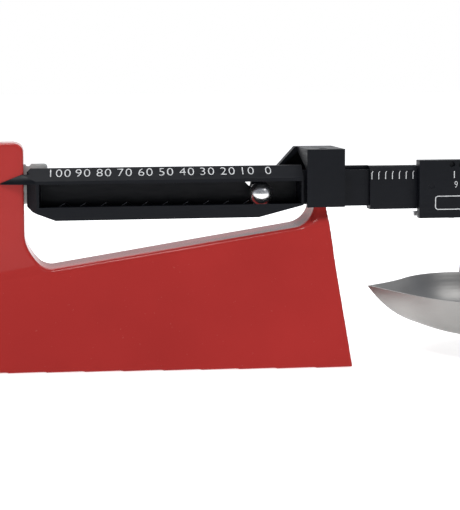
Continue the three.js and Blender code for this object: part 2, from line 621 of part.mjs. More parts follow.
// a leaf that lies on the shelf and turns up behind the arm; one end shows on the left
function sliderSpring() {
  const thick = 0.5;
  const floor = SHELF_TOP + GAP;
  const back = ARM_BACK + GAP;
  const leafShape = polygon([
    [ARM_FRONT + 0.6, floor], [back + thick, floor], [back + thick, 82], [back, 82],
    [back, floor + thick], [ARM_FRONT + 0.6, floor + thick],
  ]);
  const leaf = toSolid(fillX(leafShape, SHELF_LEFT, SHELF_RIGHT));
  const tailLeft = SLIDER_LEFT - 1.3;
  const tailFront = ARM_FRONT + 0.6;
  const tailBack = tailFront + 3;
  const tail = toSolid(box(tailLeft, SHELF_LEFT + 1, tailFront, tailBack, floor, floor + thick));
  const curl = toSolid(box(tailLeft, tailLeft + 1.6, tailFront, tailBack, floor - 1.6, floor + 0.4));
  const hole = toSolid(rodZ(SLIDER_RIVET_X, -5, 1, floor - 1, floor + 2, 12));
  return cut(join(leaf, tail, curl), hole);
}
addPiece("slider_spring", toGeometry(sliderSpring()), BRIGHT_STEEL);

function sliderRivet() {
  const shank = toSolid(rodZ(SLIDER_RIVET_X, -5, 0.7, SLIDER_BOTTOM - 0.8, ARM_BOTTOM - 0.7, 12));
  const head = toSolid(rodZ(SLIDER_RIVET_X, -5, 1.6, SLIDER_BOTTOM - 0.9, SLIDER_BOTTOM - GAP, 16));
  return join(shank, head);
}
addPiece("slider_rivet", toGeometry(sliderRivet()), BRIGHT_STEEL);

// ---------------------------------------------------------------- zero adjusting screw
function zeroAdjustScrew() {
  const stem = toSolid(rodX(0, ADJUST_Z, 1.5, TONGUE_END - 3.2, TONGUE_END + 2));
  const head = toSolid(rodX(0, ADJUST_Z, 4, TONGUE_END + 0.6, TONGUE_END + 4, 32));
  return join(stem, head);
}
addPiece("zero_adjust_screw", toGeometry(zeroAdjustScrew()), BRASS);

// ---------------------------------------------------------------- pan hanger
const CROSS_PIN_Z = 65;
const STIRRUP_INNER = 5;
const STIRRUP_OUTER = 6.2;
function hangerStirrup() {
  const side = polygon([
    [HANGER_X - 2, 62.8], [HANGER_X + 2, 62.8], [HANGER_X + 3.6, 78], [HANGER_X + 3.6, 93.2],
    [HANGER_X - 3.6, 93.2], [HANGER_X - 3.6, 78],
  ]);
  const plate = toSolid(fillY(side, -STIRRUP_OUTER, STIRRUP_OUTER));
  const inside = toSolid(box(HANGER_X - 5, HANGER_X + 5, -STIRRUP_INNER, STIRRUP_INNER, 60, 92));
  const window = polygon([
    [HANGER_X, PIVOT_Z + 0.06], [HANGER_X - 2.4, PIVOT_Z - 2], [HANGER_X - 2.4, PIVOT_Z - 5.5],
    [HANGER_X + 2.4, PIVOT_Z - 5.5], [HANGER_X + 2.4, PIVOT_Z - 2],
  ]);
  const holes = toSolid(fillY(window, -STIRRUP_OUTER - 1, STIRRUP_OUTER + 1));
  const pinHole = toSolid(rodY(HANGER_X, CROSS_PIN_Z, 1.3, -8, 8, 16));
  return cut(plate, inside, holes, pinHole);
}
addPiece("hanger_stirrup", toGeometry(hangerStirrup()), BRIGHT_STEEL);
addPiece("hanger_cross_pin", rodY(HANGER_X, CROSS_PIN_Z, 1, -7, 7, 16), BRIGHT_STEEL);

const WIRE_R = 0.9;
const RING_R = 13.5;
const RING_Z = 7.75;
const BAIL_BOW = 3;               // the arms bow away from the spout by this much
// the wire bail: an eye on the cross pin, two arms round the pan and a ring under it
function hangerBail() {
  const eyeR = 1 + GAP + WIRE_R;
  const hookZ = CROSS_PIN_Z - eyeR;
  const eye = toSolid(new THREE.TorusGeometry(eyeR, WIRE_R, 8, 20)
    .rotateX(Math.PI / 2).translate(HANGER_X, 0, CROSS_PIN_Z));
  const ring = toSolid(new THREE.TorusGeometry(RING_R, WIRE_R, 8, 40).translate(HANGER_X, 0, RING_Z));
  const arms = [-1, 1].map((side) => {
    const route = [
      [0, hookZ], [7, 60], [24, 50], [39, 39], [43.3, 32],
      [43, 25], [37, 15.5], [27, 9.8], [RING_R, RING_Z],
    ];
    const bowAt = (z) => BAIL_BOW * Math.sin(Math.PI * (hookZ - z) / (hookZ - RING_Z));
    const points = route.map(([y, z]) => new THREE.Vector3(HANGER_X + bowAt(z), side * y, z));
    return toSolid(tubeAlong(new THREE.CatmullRomCurve3(points, false, "centripetal"), WIRE_R, 36));
  });
  return join(eye, ring, ...arms);
}
addPiece("hanger_bail", toGeometry(hangerBail()), BRIGHT_STEEL);

// ---------------------------------------------------------------- pan
const PAN_STEPS = 14;
const PAN_DISH = 0.3;             // share of the depth that the shallow middle takes
const RIM_STEP = 0.01;            // the rim's inner edge is this much above its outer edge

// outside of the bowl from the middle to the rim, then its inside back to the middle
function panProfile() {
  const depth = PAN_RIM_Z - PAN_BOTTOM_Z;
  const outsideZ = (t) => PAN_BOTTOM_Z + depth * (PAN_DISH * t * t + (1 - PAN_DISH) * t ** 7);
  const profile = [];
  for (let i = 0; i <= PAN_STEPS; i += 1) {
    const t = i / PAN_STEPS;
    profile.push(new THREE.Vector2(PAN_R * t, outsideZ(t)));
  }
  for (let i = PAN_STEPS; i >= 0; i -= 1) {
    const t = i / PAN_STEPS;
    const thick = i === PAN_STEPS ? RIM_STEP : PAN_WALL;
    profile.push(new THREE.Vector2((PAN_R - PAN_WALL) * t, outsideZ(t) + thick));
  }
  return profile;
}

// draws the round rim out and up to a pointed spout on the left, along the tangents from its tip
const TANGENT = Math.acos(PAN_R / (PAN_X - SPOUT_X));
function spouted(geometry) {
  const position = geometry.attributes.position;
  for (let i = 0; i < position.count; i += 1) {
    const x = position.getX(i);
    const y = position.getY(i);
    const radius = Math.hypot(x, y);
    const angle = Math.abs(Math.atan2(y, -x));
    const reach = 1 / Math.cos(Math.max(0, TANGENT - angle));
    const share = Math.min(1, radius / PAN_R) ** 2;
    const scale = 1 + (reach - 1) * share;
    const lift = SPOUT_RISE * share * Math.max(0, 1 - angle / TANGENT) ** 2;
    position.setXYZ(i, x * scale + PAN_X, y * scale, position.getZ(i) + lift);
  }
  return geometry;
}

const bowl = new THREE.LatheGeometry(panProfile(), 64).rotateX(Math.PI / 2).rotateZ(Math.PI / 2);
addPiece("pan", toGeometry(toSolid(spouted(bowl))), SATIN_ALUMINIUM);

export default balance;
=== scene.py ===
# The looks of the single-beam grain balance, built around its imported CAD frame. Metres.
import json
import math

import bmesh
import bpy
import numpy as np
from mathutils import Matrix, Vector


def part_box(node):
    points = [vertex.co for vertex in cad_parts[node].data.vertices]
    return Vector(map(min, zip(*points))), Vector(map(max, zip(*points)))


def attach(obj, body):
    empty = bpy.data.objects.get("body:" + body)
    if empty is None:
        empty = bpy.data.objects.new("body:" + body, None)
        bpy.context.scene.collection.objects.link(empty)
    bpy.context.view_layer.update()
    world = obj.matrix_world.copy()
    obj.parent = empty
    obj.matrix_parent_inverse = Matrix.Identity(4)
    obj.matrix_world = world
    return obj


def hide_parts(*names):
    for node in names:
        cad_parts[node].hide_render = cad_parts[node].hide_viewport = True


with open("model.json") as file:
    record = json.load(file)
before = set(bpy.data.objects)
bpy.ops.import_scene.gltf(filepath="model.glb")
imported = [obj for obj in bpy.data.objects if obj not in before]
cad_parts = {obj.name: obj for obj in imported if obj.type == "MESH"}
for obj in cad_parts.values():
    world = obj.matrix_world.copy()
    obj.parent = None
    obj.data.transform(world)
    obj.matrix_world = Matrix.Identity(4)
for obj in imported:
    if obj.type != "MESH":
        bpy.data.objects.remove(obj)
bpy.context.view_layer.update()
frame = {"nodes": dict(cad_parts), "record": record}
MM = 0.001


# ---------------------------------------------------------------- camera, lights and floor
CAMERA_PLACE = (-0.0709, -0.4658, 0.1259)
CAMERA_TURN = (6.0, 3.6, 0.3)     # yaw, pitch down and roll, degrees
FOCAL_LENGTH = 70.59
FRAME_SHIFT = (0.03, -0.20)
FLOOR_SIZE = 60


def add_camera():
    yaw, pitch, roll = (math.radians(a) for a in CAMERA_TURN)
    ahead = Vector((math.sin(yaw) * math.cos(pitch), math.cos(yaw) * math.cos(pitch), -math.sin(pitch)))
    level = Vector((math.cos(yaw), -math.sin(yaw), 0))
    above = level.cross(ahead)
    right = level * math.cos(roll) - above * math.sin(roll)
    up = level * math.sin(roll) + above * math.cos(roll)
    data = bpy.data.cameras.new("camera")
    data.sensor_width = 36
    data.lens = FOCAL_LENGTH
    data.shift_x, data.shift_y = FRAME_SHIFT
    data.clip_start = 0.01
    data.clip_end = 50
    camera = bpy.data.objects.new("camera", data)
    bpy.context.scene.collection.objects.link(camera)
    turn = Matrix((right, up, -ahead)).transposed().to_4x4()
    camera.matrix_world = Matrix.Translation(CAMERA_PLACE) @ turn
    bpy.context.scene.camera = camera


def add_area(name, place, aim, size, watts):
    data = bpy.data.lights.new(name, "AREA")
    data.shape = "RECTANGLE"
    data.size, data.size_y = size
    data.energy = watts
    light = bpy.data.objects.new(name, data)
    bpy.context.scene.collection.objects.link(light)
    light.location = place
    light.rotation_euler = (Vector(aim) - Vector(place)).to_track_quat("-Z", "Y").to_euler()


def add_world():
    """White at eye level behind the object, darker behind the camera and greyer overhead."""
    world = bpy.data.worlds.new("studio")
    bpy.context.scene.world = world
    world.use_nodes = True
    nodes, links = world.node_tree.nodes, world.node_tree.links
    nodes.clear()
    coords = nodes.new("ShaderNodeTexCoord")
    split = nodes.new("ShaderNodeSeparateXYZ")
    ramp = nodes.new("ShaderNodeValToRGB")
    background = nodes.new("ShaderNodeBackground")
    output = nodes.new("ShaderNodeOutputWorld")
    shift = nodes.new("ShaderNodeMath")
    shift.operation = "MULTIPLY_ADD"
    shift.inputs[1].default_value = 0.5
    shift.inputs[2].default_value = 0.5
    overhead = nodes.new("ShaderNodeValToRGB")
    shade = nodes.new("ShaderNodeMix")
    shade.data_type = "RGBA"
    shade.blend_type = "MULTIPLY"
    shade.inputs[0].default_value = 1.0
    links.new(coords.outputs["Generated"], split.inputs[0])
    links.new(split.outputs["Y"], shift.inputs[0])
    links.new(shift.outputs[0], ramp.inputs[0])
    links.new(split.outputs["Z"], overhead.inputs[0])
    overhead.color_ramp.elements[0].position = 0.1
    overhead.color_ramp.elements[0].color = (1, 1, 1, 1)
    overhead.color_ramp.elements[1].position = 0.16
    overhead.color_ramp.elements[1].color = (0.7, 0.71, 0.74, 1)
    links.new(ramp.outputs[0], shade.inputs[6])
    links.new(overhead.outputs[0], shade.inputs[7])
    ramp.color_ramp.elements[0].position = 0.1
    ramp.color_ramp.elements[0].color = (0.2, 0.21, 0.23, 1)
    ramp.color_ramp.elements[1].position = 0.75
    ramp.color_ramp.elements[1].color = (1.0, 1.0, 1.0, 1)
    middle = ramp.color_ramp.elements.new(0.5)
    middle.color = (0.62, 0.64, 0.68, 1)
    links.new(shade.outputs[2], background.inputs["Color"])
    background.inputs["Strength"].default_value = 1.0
    links.new(background.outputs[0], output.inputs[0])


def add_floor():
    bpy.ops.mesh.primitive_plane_add(size=FLOOR_SIZE, location=(0, 0, 0))
    floor = bpy.context.object
    floor.name = "floor"
    material = bpy.data.materials.new("pale_floor")
    material.use_nodes = True
    shader = material.node_tree.nodes["Principled BSDF"]
    shader.inputs["Base Color"].default_value = (0.7, 0.7, 0.7, 1)
    shader.inputs["Roughness"].default_value = 0.9
    shader.inputs["Specular IOR Level"].default_value = 0.1
    shader.inputs["Emission Color"].default_value = (1, 1, 1, 1)
    shader.inputs["Emission Strength"].default_value = 0.74
    floor.data.materials.append(material)


bpy.context.scene.view_settings.view_transform = "Standard"
add_camera()
add_world()
add_floor()
add_area("key", (-0.25, -0.5, 1.15), (-0.02, 0, 0.05), (0.4, 0.3), 8)
add_area("fill", (0.6, -0.5, 1.0), (0.05, 0, 0.05), (0.5, 0.5), 3)
add_area("rim", (0.1, 0.7, 0.9), (0, 0, 0.05), (0.9, 0.5), 5)


# ---------------------------------------------------------------- materials
def new_material(name, colour, rough, metallic=0.0, specular=0.5):
    material = bpy.data.materials.new(name)
    material.use_nodes = True
    shader = material.node_tree.nodes["Principled BSDF"]
    shader.inputs["Base Color"].default_value = (*colour, 1)
    shader.inputs["Roughness"].default_value = rough
    shader.inputs["Metallic"].default_value = metallic
    shader.inputs["Specular IOR Level"].default_value = specular
    return material, shader


def object_coords(material, stretch=(1, 1, 1)):
    tree = material.node_tree
    coords = tree.nodes.new("ShaderNodeTexCoord")
    mapping = tree.nodes.new("ShaderNodeMapping")
    mapping.inputs["Scale"].default_value = stretch
    tree.links.new(coords.outputs["Object"], mapping.inputs["Vector"])
    return mapping.outputs["Vector"]


def noise(material, scale, detail=3, stretch=(1, 1, 1)):
    tree = material.node_tree
    node = tree.nodes.new("ShaderNodeTexNoise")
    node.inputs["Scale"].default_value = scale
    node.inputs["Detail"].default_value = detail
    tree.links.new(object_coords(material, stretch), node.inputs["Vector"])
    return node.outputs["Fac"]


def ramp_between(material, value, stops):
    node = material.node_tree.nodes.new("ShaderNodeValToRGB")
    node.color_ramp.elements[0].position, low = stops[0]
    node.color_ramp.elements[1].position, high = stops[-1]
    node.color_ramp.elements[0].color = (*low, 1)
    node.color_ramp.elements[1].color = (*high, 1)
    for place, colour in stops[1:-1]:
        node.color_ramp.elements.new(place).color = (*colour, 1)
    material.node_tree.links.new(value, node.inputs[0])
    return node.outputs[0]


def bumps(material, shader, value, distance, strength):
    node = material.node_tree.nodes.new("ShaderNodeBump")
    node.inputs["Distance"].default_value = distance
    node.inputs["Strength"].default_value = strength
    material.node_tree.links.new(value, node.inputs["Height"])
    material.node_tree.links.new(node.outputs[0], shader.inputs["Normal"])
    return node


def grey(value):
    return (value, value, value)


def enamel(name, colour):
    """Glossy stoved enamel: slight orange peel, faint tone drift and a few dust specks."""
    material, shader = new_material(name, colour, 0.16, 0, 0.14)
    links = material.node_tree.links
    drift = noise(material, 14, 4)
    dark = tuple(c * 0.9 for c in colour)
    light = tuple(min(1, c * 1.08) for c in colour)
    tone = ramp_between(material, drift, [(0.3, dark), (0.7, light)])
    dust = noise(material, 900, 1)
    specks = ramp_between(material, dust, [(0.0, grey(0)), (0.74, grey(0)), (0.8, grey(1))])
    mix = material.node_tree.nodes.new("ShaderNodeMix")
    mix.data_type = "RGBA"
    mix.inputs[7].default_value = (0.62, 0.3, 0.27, 1)
    faint = material.node_tree.nodes.new("ShaderNodeMath")
    faint.operation = "MULTIPLY"
    faint.inputs[1].default_value = 0.1
    links.new(specks, faint.inputs[0])
    links.new(faint.outputs[0], mix.inputs[0])
    links.new(tone, mix.inputs[6])
    links.new(mix.outputs[2], shader.inputs["Base Color"])
    links.new(ramp_between(material, noise(material, 60, 3), [(0.3, grey(0.1)), (0.7, grey(0.2))]),
              shader.inputs["Roughness"])
    bumps(material, shader, noise(material, 420, 2), 0.0002, 0.06)
    return material


def phenolic(name, colour):
    """Moulded phenolic: satin, with faint flow marks and fine handling scratches."""
    material, shader = new_material(name, colour, 0.45, 0, 0.16)
    links = material.node_tree.links
    shaded = tuple(c * 0.8 for c in colour)
    tone = ramp_between(material, noise(material, 35, 4), [(0.3, shaded), (0.72, colour)])
    links.new(tone, shader.inputs["Base Color"])
    scratches = noise(material, 130, 5, (1, 1, 9))
    links.new(ramp_between(material, scratches, [(0.35, grey(0.34)), (0.7, grey(0.52))]),
              shader.inputs["Roughness"])
    bumps(material, shader, noise(material, 1500, 3), 0.0001, 0.12)
    return material


def metal(name, colour, rough, grain=(1, 1, 1), scale=500, depth=0.08):
    """Plain metal with a directional grain, its roughness and tone broken up a little."""
    material, shader = new_material(name, colour, rough, 1.0)
    links = material.node_tree.links
    fine = noise(material, scale, 4, grain)
    tone = ramp_between(material, fine, [(0.3, tuple(c * 0.9 for c in colour)), (0.7, colour)])
    links.new(tone, shader.inputs["Base Color"])
    cloud = noise(material, 40, 3)
    links.new(ramp_between(material, cloud, [(0.3, grey(rough * 0.8)), (0.7, grey(min(1, rough * 1.25)))]),
              shader.inputs["Roughness"])
    bumps(material, shader, fine, 0.0001, depth)
    return material


def spun_aluminium(name, centre):
    """Satin aluminium spun on a lathe: fine rings about the pan's own axis."""
    material, shader = new_material(name, (0.6, 0.59, 0.57), 0.33, 1.0)
    tree = material.node_tree
    links = tree.links
    coords = tree.nodes.new("ShaderNodeTexCoord")
    mapping = tree.nodes.new("ShaderNodeMapping")
    mapping.inputs["Location"].default_value = (-centre[0], -centre[1], 0)
    links.new(coords.outputs["Object"], mapping.inputs["Vector"])
    wave = tree.nodes.new("ShaderNodeTexWave")
    wave.wave_type = "RINGS"
    wave.rings_direction = "Z"
    wave.inputs["Scale"].default_value = 320
    wave.inputs["Distortion"].default_value = 1.5
    wave.inputs["Detail"].default_value = 2
    links.new(mapping.outputs["Vector"], wave.inputs["Vector"])
    tones = [(0.3, (0.27, 0.265, 0.255)), (0.72, (0.34, 0.334, 0.323))]
    tone = ramp_between(material, noise(material, 24, 4), tones)
    links.new(tone, shader.inputs["Base Color"])
    links.new(ramp_between(material, noise(material, 55, 4), [(0.3, grey(0.34)), (0.7, grey(0.46))]),
              shader.inputs["Roughness"])
    bumps(material, shader, wave.outputs["Fac"], 0.00004, 0.25)
    return material


def rubber(name):
    material, shader = new_material(name, (0.018, 0.018, 0.018), 0.8, 0, 0.3)
    links = material.node_tree.links
    cloud = noise(material, 300, 3)
    links.new(ramp_between(material, cloud, [(0.3, grey(0.012)), (0.7, grey(0.026))]),
              shader.inputs["Base Color"])
    bumps(material, shader, cloud, 0.0002, 0.3)
    return material


def white_paint(name):
    material, shader = new_material(name, (0.74, 0.75, 0.74), 0.6, 0, 0.3)
    links = material.node_tree.links
    wear = noise(material, 800, 3)
    links.new(ramp_between(material, wear, [(0.25, (0.42, 0.43, 0.44)), (0.5, (0.64, 0.65, 0.65))]),
              shader.inputs["Base Color"])
    return material


pan_low, pan_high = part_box("pan")
pan_centre = Vector((pan_high.x - (pan_high.y - pan_low.y) / 2, 0, 0))
LOOKS = {
    "red_enamel": enamel("red_enamel_gloss", (0.36, 0.028, 0.025)),
    "black_phenolic": phenolic("black_phenolic_satin", (0.0034, 0.0043, 0.0068)),
    "chrome_steel": metal("chrome_polished", (0.92, 0.92, 0.92), 0.26, scale=80, depth=0.01),
    "bright_steel": metal("bright_steel_plated", (0.62, 0.62, 0.63), 0.22),
    "satin_aluminium": spun_aluminium("satin_aluminium_spun", pan_centre),
    "vane_aluminium": metal("vane_aluminium_dull", (0.8, 0.82, 0.8), 0.62, (1, 1, 6)),
    "magnet": metal("magnet_ferrite", (0.12, 0.12, 0.13), 0.5),
    "brass": metal("brass_turned", (0.66, 0.48, 0.2), 0.24, (1, 1, 8)),
    "rubber": rubber("rubber_matt"),
}
WHITE = white_paint("white_marking_paint")
slot_of = {row["node"]: row["material_slot"] for row in frame["record"]["subparts"]}
body_of = {node: body for body, nodes in frame["record"]["behaviour"]["bodies"].items() for node in nodes}


# ---------------------------------------------------------------- making and placing pieces
def new_piece(name, mesh, look, body, stands_for=()):
    piece = bpy.data.objects.new(name, mesh)
    bpy.context.scene.collection.objects.link(piece)
    mesh.materials.clear()
    own_look = isinstance(look, bpy.types.Material)
    mesh.materials.append(look if own_look else LOOKS[look])
    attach(piece, body)
    if stands_for:
        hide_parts(*stands_for)
    return piece


def apply_modifiers(piece):
    bpy.context.view_layer.update()
    graph = bpy.context.evaluated_depsgraph_get()
    mesh = bpy.data.meshes.new_from_object(piece.evaluated_get(graph))
    piece.modifiers.clear()
    piece.data = mesh


def refined(node, name, width, segments=2, angle=30):
    """A copy of a CAD node with its flats merged and every sharp edge rounded."""
    mesh = frame["nodes"][node].data.copy()
    shape = bmesh.new()
    shape.from_mesh(mesh)
    bmesh.ops.remove_doubles(shape, verts=shape.verts, dist=1e-6)
    bmesh.ops.dissolve_limit(shape, angle_limit=math.radians(1), verts=shape.verts, edges=shape.edges)
    shape.to_mesh(mesh)
    shape.free()
    mesh.polygons.foreach_set("use_smooth", [True] * len(mesh.polygons))
    piece = new_piece(name, mesh, slot_of[node], body_of[node], [node])
    bevel = piece.modifiers.new("edges", "BEVEL")
    bevel.width = width * MM
    bevel.segments = segments
    bevel.limit_method = "ANGLE"
    bevel.angle_limit = math.radians(angle)
    bevel.use_clamp_overlap = True
    bevel.harden_normals = False
    normals = piece.modifiers.new("normals", "WEIGHTED_NORMAL")
    normals.keep_sharp = True
    apply_modifiers(piece)
    return piece


# ---------------------------------------------------------------- rounded solids from distances
SETTLE_ROUNDS = 4                 # how often the points are pulled on to the surface


def round_meet(a, b, r):
    """Distance to the overlap of two solids, its edge rounded to r."""
    return np.minimum(np.maximum(a, b), -r) + np.hypot(np.maximum(a + r, 0), np.maximum(b + r, 0))


def round_join(a, b, r):
    """Distance to two solids joined with a fillet of r."""
    return np.maximum(np.minimum(a, b), r) - np.hypot(np.maximum(r - a, 0), np.maximum(r - b, 0))


def surface_net(distance, low, high, step):
    """The mesh of distance(x, y, z) = 0 in a box, its points pulled on to the surface. Millimetres."""
    counts = [int(math.ceil((h - l) / step)) + 1 for l, h in zip(low, high)]
    axes = [l + step * np.arange(n) for l, n in zip(low, counts)]
    grid = np.meshgrid(*axes, indexing="ij")
    value = distance(*grid)
    inside = value < 0
    cells = tuple(n - 1 for n in counts)
    total = np.zeros((*cells, 3))
    hits = np.zeros(cells)
    corners = [(i, j, k) for i in (0, 1) for j in (0, 1) for k in (0, 1)]
    for axis in range(3):
        for a in (c for c in corners if c[axis] == 0):
            b = tuple(c + (1 if n == axis else 0) for n, c in enumerate(a))
            va = value[a[0]:a[0] + cells[0], a[1]:a[1] + cells[1], a[2]:a[2] + cells[2]]
            vb = value[b[0]:b[0] + cells[0], b[1]:b[1] + cells[1], b[2]:b[2] + cells[2]]
            crossed = (va < 0) != (vb < 0)
            share = np.where(crossed, va / np.where(crossed, va - vb, 1), 0)
            for n in range(3):
                total[..., n] += np.where(crossed, a[n] + (share if n == axis else 0), 0)
            hits += crossed
    used = hits > 0
    index = -np.ones(cells, int)
    index[used] = np.arange(used.sum())
    base = np.stack(np.nonzero(used), 1)
    points = np.array(low) + step * (base + total[used] / hits[used][:, None])
    furthest = 0.4 * step
    for _ in range(SETTLE_ROUNDS):
        gradient = slope_of(distance, points)
        steepness = np.maximum((gradient ** 2).sum(1), 0.25)
        move = -(distance(*points.T) / steepness)[:, None] * gradient
        points += np.clip(move, -furthest, furthest)
    faces = []
    for axis in range(3):
        u, v = (axis + 1) % 3, (axis + 2) % 3
        first = [slice(None)] * 3
        second = [slice(None)] * 3
        first[axis], second[axis] = slice(0, -1), slice(1, None)
        starts, ends = inside[tuple(first)], inside[tuple(second)]
        for flip, wanted in ((False, starts & ~ends), (True, ~starts & ends)):
            at = np.stack(np.nonzero(wanted), 1)
            at = at[(at[:, u] > 0) & (at[:, v] > 0) & (at[:, u] < cells[u]) & (at[:, v] < cells[v])]
            ring = []
            for du, dv in ((1, 1), (0, 1), (0, 0), (1, 0)):
                cell = at.copy()
                cell[:, u] -= du
                cell[:, v] -= dv
                ring.append(index[tuple(cell.T)])
            quads = np.stack(ring[::-1] if flip else ring, 1)
            faces.append(quads)
    return points, np.concatenate(faces)


def slope_of(distance, points, reach=0.02):
    columns = []
    for n in range(3):
        ahead, behind = points.copy(), points.copy()
        ahead[:, n] += reach
        behind[:, n] -= reach
        columns.append((distance(*ahead.T) - distance(*behind.T)) / (2 * reach))
    return np.stack(columns, 1)


def net_mesh(name, distance, low, high, step):
    points, faces = surface_net(distance, low, high, step)
    mesh = bpy.data.meshes.new(name)
    mesh.from_pydata((points * MM).tolist(), [], faces.tolist())
    mesh.polygons.foreach_set("use_smooth", [True] * len(mesh.polygons))
    normals = slope_of(distance, points)
    normals /= np.linalg.norm(normals, axis=1)[:, None] + 1e-9
    mesh.normals_split_custom_set_from_vertices(normals.tolist())
    mesh.update()
    return mesh


# ---------------------------------------------------------------- base casting
BASE_LEFT, LEFT_DRAFT = -137, 0.0383
BASE_RIGHT, RIGHT_DRAFT = 37.5, 0.115
HALF_WIDTH, WIDTH_TAPER, SIDE_DRAFT = 27.3, 0.058, 0.27
SLOPE_Z0, SLOPE = 59.7, 0.153     # the sloping top's height at x = 0 and its rise
RIM_Z = 0.5
WALL = 3
EDGE_R = 1.6                      # rounding of the long edges
END_R = 1.3                       # rounding of the ends' edges
POST_FACE, POST_TOP, POST_HALF = -109.8, 102.5, 9
POST_FOOT_Z = 22
POST_EDGE_R, POST_TOP_R = 1.2, 4
POST_DRAFT = 0.07                 # turns the inner face a little away from the front
POST_FILLET = 3.5
FLARE_TOP, FLARE_HEIGHT, FLARE_REACH = 61, 17, 9.5
FACE_SHARE = 0.8                  # keeps the curved face's distance from overshooting
NECK_LEFT, NECK_HALF, NECK_TOP, NECK_FOOT_Z = 23.6, 9.5, 74, 48
NECK_FILLET = 9
BLADE_HALF, BLADE_TOP, BLADE_FOOT_Z = 7.5, 84, 60
CORE_X, CORE_R, CORE_HALF, CORE_TOP = -121, 8, 5.5, 60
BOSS_X, BOSS_Y, BOSS_R, BOSS_BOTTOM = 24, 17.5, 6, 2.5
LUG_X, LUG_R, LUG_Z, LUG_HALF = -142, 5, 10, 3
LUG_NECK_X, LUG_NECK_HALF, LUG_FILLET = -138, 4, 1.2
LUG_HOLE_R = 2.1
SLOT_LEFT, SLOT_RIGHT, SLOT_HALF = -130.5, -100, 1.7
SLOT_Z, SLOT_HALF_HEIGHT = 82.25, 16.25
POCKET_X, POCKET_Z, POCKET_R, POCKET_HALF = -121, 81, 7.1, 5.7


def casting(x, y, z):
    """Distance to the red base: a drafted, tapered shell with a post at each end. Millimetres."""
    side_slope = math.sqrt(1 + WIDTH_TAPER ** 2 + SIDE_DRAFT ** 2)
    top_slope = math.sqrt(1 + SLOPE ** 2)
    side = (abs(y) - (HALF_WIDTH + WIDTH_TAPER * x - SIDE_DRAFT * z)) / side_slope
    top = (z - (SLOPE_Z0 + SLOPE * x)) / top_slope
    left = -(x - (BASE_LEFT + LEFT_DRAFT * z))
    right = (x - (BASE_RIGHT - RIGHT_DRAFT * z)) / math.sqrt(1 + RIGHT_DRAFT ** 2)
    outline = np.maximum(left, right)
    body = round_meet(round_meet(side, top, EDGE_R), outline, END_R)
    flare = FLARE_REACH * np.clip((FLARE_TOP - z) / FLARE_HEIGHT, 0, 1) ** 2
    draft = POST_DRAFT * np.clip(y + POST_HALF, 0, 2 * POST_HALF)
    face = (x - POST_FACE - flare + draft) * FACE_SHARE
    cap = z - POST_TOP
    post_plan = np.maximum(round_meet(face, cap, POST_TOP_R), round_meet(left, cap, POST_TOP_R))
    post = round_meet(np.maximum(post_plan, POST_FOOT_Z - z), abs(y) - POST_HALF, POST_EDGE_R)
    neck = round_meet(np.maximum(NECK_LEFT - x, NECK_FOOT_Z - z), abs(y) - NECK_HALF, EDGE_R)
    neck = round_meet(round_meet(neck, z - NECK_TOP, 1), right, END_R)
    blade_plan = np.maximum(NECK_LEFT - x, right)
    blade = np.maximum(blade_plan, np.maximum(abs(y) - BLADE_HALF, z - BLADE_TOP))
    solid = round_join(body, post, POST_FILLET)
    solid = round_join(solid, neck, NECK_FILLET)
    solid = np.minimum(solid, np.maximum(blade, BLADE_FOOT_Z - z))
    solid = np.maximum(solid, outline)
    solid = np.maximum(solid, RIM_Z - z)
    hollow = round_meet(side + WALL, top + WALL, WALL)
    hollow = round_meet(hollow, outline + WALL, WALL)
    core = round_meet(np.hypot(x - CORE_X, 0 * y) - CORE_R, abs(y) - CORE_HALF, 2)
    hollow = np.minimum(hollow, np.maximum(core, z - CORE_TOP))
    bosses = np.maximum(np.hypot(x - BOSS_X, abs(y) - BOSS_Y) - BOSS_R, BOSS_BOTTOM - z)
    shell = np.maximum(solid, -hollow)
    shell = np.minimum(shell, np.maximum(bosses, solid))
    lug_neck = np.maximum(abs(y) - LUG_R, abs(x - LUG_NECK_X) - LUG_NECK_HALF)
    lug_plan = np.minimum(np.hypot(x - LUG_X, y) - LUG_R, lug_neck)
    shell = round_join(shell, np.maximum(lug_plan, abs(z - LUG_Z) - LUG_HALF), LUG_FILLET)
    slot_plan = np.maximum(np.maximum(SLOT_LEFT - x, x - SLOT_RIGHT), abs(y) - SLOT_HALF)
    slot = np.maximum(slot_plan, abs(z - SLOT_Z) - SLOT_HALF_HEIGHT)
    pockets = np.maximum(np.hypot(x - POCKET_X, z - POCKET_Z) - POCKET_R, abs(y) - POCKET_HALF)
    hole = np.hypot(x - LUG_X, y) - LUG_HOLE_R
    return np.maximum(np.maximum(shell, -slot), np.maximum(-pockets, -hole))


base_low, base_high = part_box("base_casting")
NET_STEP = 1.0
NET_MARGIN = 2
net_low = [v / MM - NET_MARGIN for v in base_low]
net_high = [v / MM + NET_MARGIN for v in base_high]
base_mesh = net_mesh("base_enamelled_casting", casting, net_low, net_high, NET_STEP)
new_piece("base_enamelled_casting", base_mesh, "red_enamel", "base", ["base_casting"])

